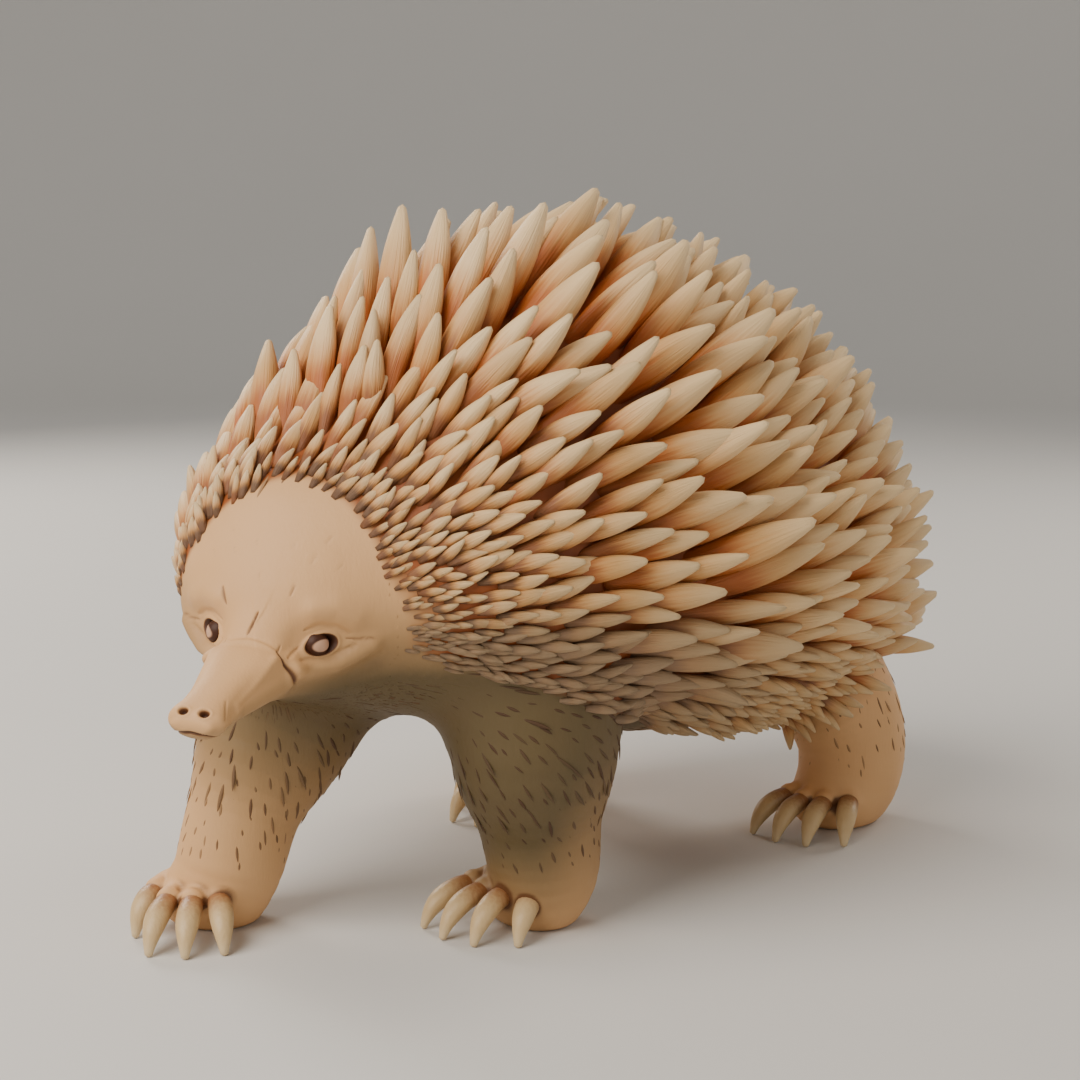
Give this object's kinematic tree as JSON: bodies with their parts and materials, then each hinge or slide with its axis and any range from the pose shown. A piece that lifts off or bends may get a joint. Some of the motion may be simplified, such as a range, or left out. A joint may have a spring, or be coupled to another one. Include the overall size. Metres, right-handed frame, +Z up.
{
  "type": "short-beaked echidna",
  "caption": "Life-size standing echidna in mid step, with a domed coat of blunt spines, a short beak and long digging claws.",
  "frame": {"origin": "middle of the floor area under the animal, at the level of its soles", "axes": "-Y is the way the animal faces, +X its left side, +Z up"},
  "size_m": [0.2532, 0.4184, 0.2909],
  "materials": {
    "skin": "short flat fur over soft tan skin, dull",
    "beak_skin": "bare smooth skin with a faint sheen",
    "eye": "wet and glossy",
    "spines": "smooth horn, warm brown at the roots and cream at the tips",
    "claw": "smooth horn with fine growth lines"
  },
  "bodies": {
    "root": {"head": "skin", "beak": "beak_skin", "eye_left": "eye", "eye_right": "eye", "torso": "spines", "tail": "skin", "foreleg_left": "skin", "forefoot_left": "skin", "forefoot_left_claw_1": "claw", "forefoot_left_claw_2": "claw", "forefoot_left_claw_3": "claw", "forefoot_left_claw_4": "claw", "hindleg_left": "skin", "hindfoot_left": "skin", "hindfoot_left_claw_1": "claw", "hindfoot_left_claw_2": "claw", "hindfoot_left_claw_3": "claw", "hindfoot_left_claw_4": "claw", "foreleg_right": "skin", "forefoot_right": "skin", "forefoot_right_claw_1": "claw", "forefoot_right_claw_2": "claw", "forefoot_right_claw_3": "claw", "forefoot_right_claw_4": "claw", "hindleg_right": "skin", "hindfoot_right": "skin", "hindfoot_right_claw_1": "claw", "hindfoot_right_claw_2": "claw", "hindfoot_right_claw_3": "claw", "hindfoot_right_claw_4": "claw"}
  },
  "joints": []
}
